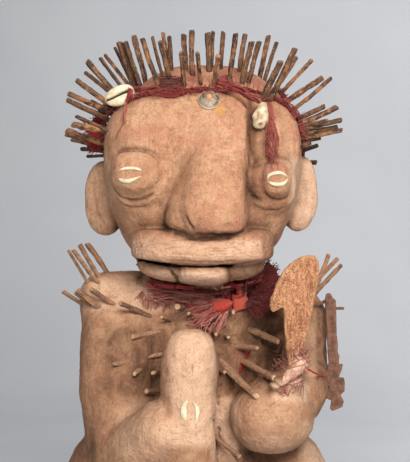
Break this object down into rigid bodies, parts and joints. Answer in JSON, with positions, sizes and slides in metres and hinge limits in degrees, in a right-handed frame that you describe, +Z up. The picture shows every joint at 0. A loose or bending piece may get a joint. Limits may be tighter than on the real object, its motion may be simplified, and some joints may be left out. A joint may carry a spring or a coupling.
{
  "type": "anthropomorphic figure",
  "caption": "Carved wooden squatting figure with a large head, cowrie eyes, driven pegs, a cloth band, a flat axe and a hung key; stands on its own low base.",
  "frame": {"origin": "centre of the oval base's underside", "axes": "+Z up, the figure looks towards -Y, +X to the viewer's right"},
  "size_m": [0.2652, 0.2344, 0.5181],
  "materials": {
    "carved_wood": "matt carved wood, pinkish tan, pitted and tool-marked",
    "peg_wood": "dry dark twigs and split wood",
    "band_cloth": "coarse twisted red cloth",
    "neck_cloth": "worn red cloth, knotted and frayed",
    "shell": "ivory shell, semi-gloss",
    "axe_wood": "orange-brown fibrous wood",
    "fibre": "frayed plant fibre",
    "rusty_iron": "rusty flat iron",
    "stud_metal": "dull tarnished metal dome"
  },
  "bodies": {
    "root": {"axe": "axe_wood", "chest_peg_left_1": "peg_wood", "chest_peg_left_2": "peg_wood", "chest_peg_left_3": "peg_wood", "chest_peg_right_1": "peg_wood", "chest_peg_right_2": "peg_wood", "chest_peg_right_3": "peg_wood", "eye_cowrie_left": "shell", "eye_cowrie_right": "shell", "figure": "carved_wood", "forehead_stud": "stud_metal", "grip_wrap": "fibre", "hanging_cowrie": "shell", "hanging_key": "rusty_iron", "hanging_shell": "shell", "head_band": "band_cloth", "head_peg_back_1": "peg_wood", "head_peg_back_2": "peg_wood", "head_peg_back_3": "peg_wood", "head_peg_left_1": "peg_wood", "head_peg_left_2": "peg_wood", "head_peg_left_3": "peg_wood", "head_peg_left_4": "peg_wood", "head_peg_left_5": "peg_wood", "head_peg_left_6": "peg_wood", "head_peg_left_7": "peg_wood", "head_peg_right_1": "peg_wood", "head_peg_right_2": "peg_wood", "head_peg_right_3": "peg_wood", "head_peg_right_4": "peg_wood", "head_peg_right_5": "peg_wood", "head_peg_top_1": "peg_wood", "head_peg_top_10": "peg_wood", "head_peg_top_11": "peg_wood", "head_peg_top_2": "peg_wood", "head_peg_top_3": "peg_wood", "head_peg_top_4": "peg_wood", "head_peg_top_5": "peg_wood", "head_peg_top_6": "peg_wood", "head_peg_top_7": "peg_wood", "head_peg_top_8": "peg_wood", "head_peg_top_9": "peg_wood", "head_peg_upper_1": "peg_wood", "head_peg_upper_2": "peg_wood", "head_peg_upper_3": "peg_wood", "head_peg_upper_4": "peg_wood", "head_peg_upper_5": "peg_wood", "head_peg_upper_6": "peg_wood", "head_peg_upper_7": "peg_wood", "head_peg_upper_8": "peg_wood", "key_peg_1": "peg_wood", "neck_cloth": "neck_cloth", "post_cowrie": "shell", "shoulder_peg_1": "peg_wood", "shoulder_peg_2": "peg_wood", "shoulder_peg_3": "peg_wood", "shoulder_peg_4": "peg_wood", "shoulder_peg_5": "peg_wood", "shoulder_peg_6": "peg_wood"}
  },
  "joints": []
}
